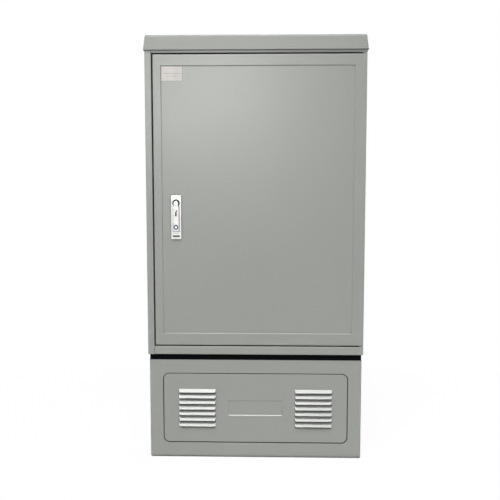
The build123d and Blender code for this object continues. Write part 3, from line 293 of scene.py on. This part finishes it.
def handle_face():
    """The bright handle, with a black painted dark reflection shaped like a comma in the hollow of its
    face.
    """
    rivet_drop = 0.0519
    ring_inner, ring_outer, ring_left = 0.0019, 0.0041, -0.0012
    tail_left, tail_right = -0.0024, 0.0028
    tail_bottom, tail_top = -0.0175, -0.0026
    hollow_depth = 0.0035

    low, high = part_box("swing_handle")
    rivet_x = (low.x + high.x) / 2
    rivet_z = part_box("lock_plate")[1].z - rivet_drop
    face = polished("handle_face", tint(bright, 0.95), rough=0.22)
    x, y, z = face.axes()
    off_x, off_z = face.math("SUBTRACT", x, rivet_x), face.math("SUBTRACT", z, rivet_z)
    square = face.math("ADD", face.math("MULTIPLY", off_x, off_x), face.math("MULTIPLY", off_z, off_z))
    ring = face.every(face.band(square, ring_inner**2, ring_outer**2), face.above(off_x, ring_left))
    tail = face.every(face.band(off_x, tail_left, tail_right), face.band(off_z, tail_bottom, tail_top))
    hollow = face.every(face.either(ring, tail), face.below(y, low.y + hollow_depth))
    # Painted dark reflection: black laid over the comma-shaped hollow of the handle's face
    face.cover(hollow, painted_darkness, rough=0.6, metal=0.0)
    return face


def plate_face():
    """The blank name plate: a thin printed frame and two plain rules, no words."""
    margin, frame_line = 0.006, 0.0007
    frame_colour = (0.40, 0.39, 0.38)
    rules = (
        {"height": 0.0008, "half_width": 0.026, "half_thickness": 0.0006, "grey": 0.24},
        {"height": -0.0085, "half_width": 0.020, "half_thickness": 0.0009, "grey": 0.38},
    )

    low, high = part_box("name_plate")
    centre = (low + high) / 2
    half_x, half_z = (high.x - low.x) / 2 - margin, (high.z - low.z) / 2 - margin
    face = plastic("printed_enamel", (0.60, 0.57, 0.54), rough=0.5, grain=300.0, strength=0.05)
    x, _, z = face.axes()
    off_z = face.math("SUBTRACT", z, centre.z)
    far_x = face.math("ABSOLUTE", face.math("SUBTRACT", x, centre.x))
    far_z = face.math("ABSOLUTE", off_z)
    outer, inner = (
        face.every(face.below(far_x, half_x - inset), face.below(far_z, half_z - inset))
        for inset in (0, frame_line)
    )
    face.cover(face.math("SUBTRACT", outer, inner), frame_colour)
    for rule in rules:
        bottom, top = rule["height"] - rule["half_thickness"], rule["height"] + rule["half_thickness"]
        line = face.every(face.below(far_x, rule["half_width"]), face.band(off_z, bottom, top))
        face.cover(line, (rule["grey"],) * 3)
    return face


finish_of_node = {"lock_plate": lock_face(), "swing_handle": handle_face(), "name_plate": plate_face()}
for name, node in nodes.items():
    finish = finish_of_node.get(name) or finish_of_slot[slot_of[name]]
    for place in node.material_slots:
        place.material = finish.mat


# Floor and background
floor_size = 40
floor_colour = (0.88, 0.88, 0.88, 1)
near_part, far_from_part = 0.5, 1.6
near_white, far_white = 0.92, 1.0
patch_lift, patch_inset = 0.0003, 0.008
world_light, world_white = 0.16, 1.0


def floor_finish(name, glowing):
    """A pale matt floor. Where it glows it shows white to the eye, a little less so near the part."""
    mat = bpy.data.materials.new(name)
    mat.use_nodes = True
    mat.node_tree.nodes.clear()
    graph = Graph(mat.node_tree)
    shader = graph.node("BsdfDiffuse", Color=floor_colour).outputs[0]
    if glowing:
        distance = graph.node("VectorMath", operation="LENGTH")
        graph.feed(distance.inputs[0], graph.node("TexCoord").outputs["Object"])
        white = graph.span(distance.outputs["Value"], near_part, far_from_part, near_white, far_white)
        blend = graph.node("MixShader")
        graph.feed(blend.inputs["Fac"], graph.math("MULTIPLY", graph.seen(0.0, 1.0), white))
        graph.feed(blend.inputs[1], shader)
        graph.feed(blend.inputs[2], graph.node("Emission").outputs[0])
        shader = blend.outputs[0]
    graph.feed(graph.node("OutputMaterial").inputs["Surface"], shader)
    return mat


def level_plane(name, size, height, mat):
    """A level square plane, centred on the origin."""
    bpy.ops.mesh.primitive_plane_add(size=size, location=(0, 0, height))
    plane = bpy.context.object
    plane.name = name
    plane.data.materials.append(mat)
    return plane


floor = level_plane("floor", floor_size, 0, floor_finish("pale_floor", glowing=True))
patch = level_plane("floor_under_the_part", 1, patch_lift, floor_finish("shaded_floor", glowing=False))
foot_low, foot_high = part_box("plinth")
patch.scale = (foot_high.x - foot_low.x - 2 * patch_inset, foot_high.y - foot_low.y - 2 * patch_inset, 1)

world = bpy.data.worlds.new("studio")
bpy.context.scene.world = world
world.use_nodes = True
background = world.node_tree.nodes["Background"]
background.inputs["Color"].default_value = (1, 1, 1, 1)
sky = Graph(world.node_tree)
sky.feed(background.inputs["Strength"], sky.seen(world_light, world_white))


# Lamps, with places and sizes in metres, power in watts and spread in degrees
def lamp(name, place, aim, size, power, spread=180):
    """A rectangular area lamp that points at a place."""
    data = bpy.data.lights.new(name, "AREA")
    data.shape = "RECTANGLE"
    data.size, data.size_y = size
    data.energy = power
    data.spread = radians(spread)
    obj = bpy.data.objects.new(name, data)
    bpy.context.collection.objects.link(obj)
    obj.location = place
    obj.rotation_euler = (Vector(aim) - Vector(place)).to_track_quat("-Z", "Y").to_euler()


lamp("overhead", place=(-0.2, -2.4, 4.1), aim=(0.05, -0.15, -0.3), size=(2.6, 1.4), power=22, spread=60)
lamp("front", place=(-0.45, -3.3, 1.75), aim=(-0.1, -0.15, 0.95), size=(1.1, 1.1), power=25)
lamp("back", place=(0.9, 3.2, 2.6), aim=(0.0, 0.15, 0.7), size=(1.8, 1.8), power=50)
for side in (-1, 1):
    lamp("side", place=(side * 3.4, 0.25, 1.8), aim=(side * 0.37, 0.0, 0.8), size=(1.6, 1.6), power=32)

# Camera at the photograph's viewing angle, in metres, degrees and millimetres
camera_place = (0.0438, -2.518, 0.946)
camera_tilt, camera_turn = 84.75, 1.5
focal_length, sensor_width = 50.4, 36

lens = bpy.data.cameras.new("camera")
lens.lens = focal_length
lens.sensor_width = sensor_width
camera = bpy.data.objects.new("camera", lens)
bpy.context.collection.objects.link(camera)
camera.location = camera_place
camera.rotation_euler = (radians(camera_tilt), 0, radians(camera_turn))
bpy.context.scene.camera = camera
bpy.context.scene.view_settings.view_transform = "Standard"
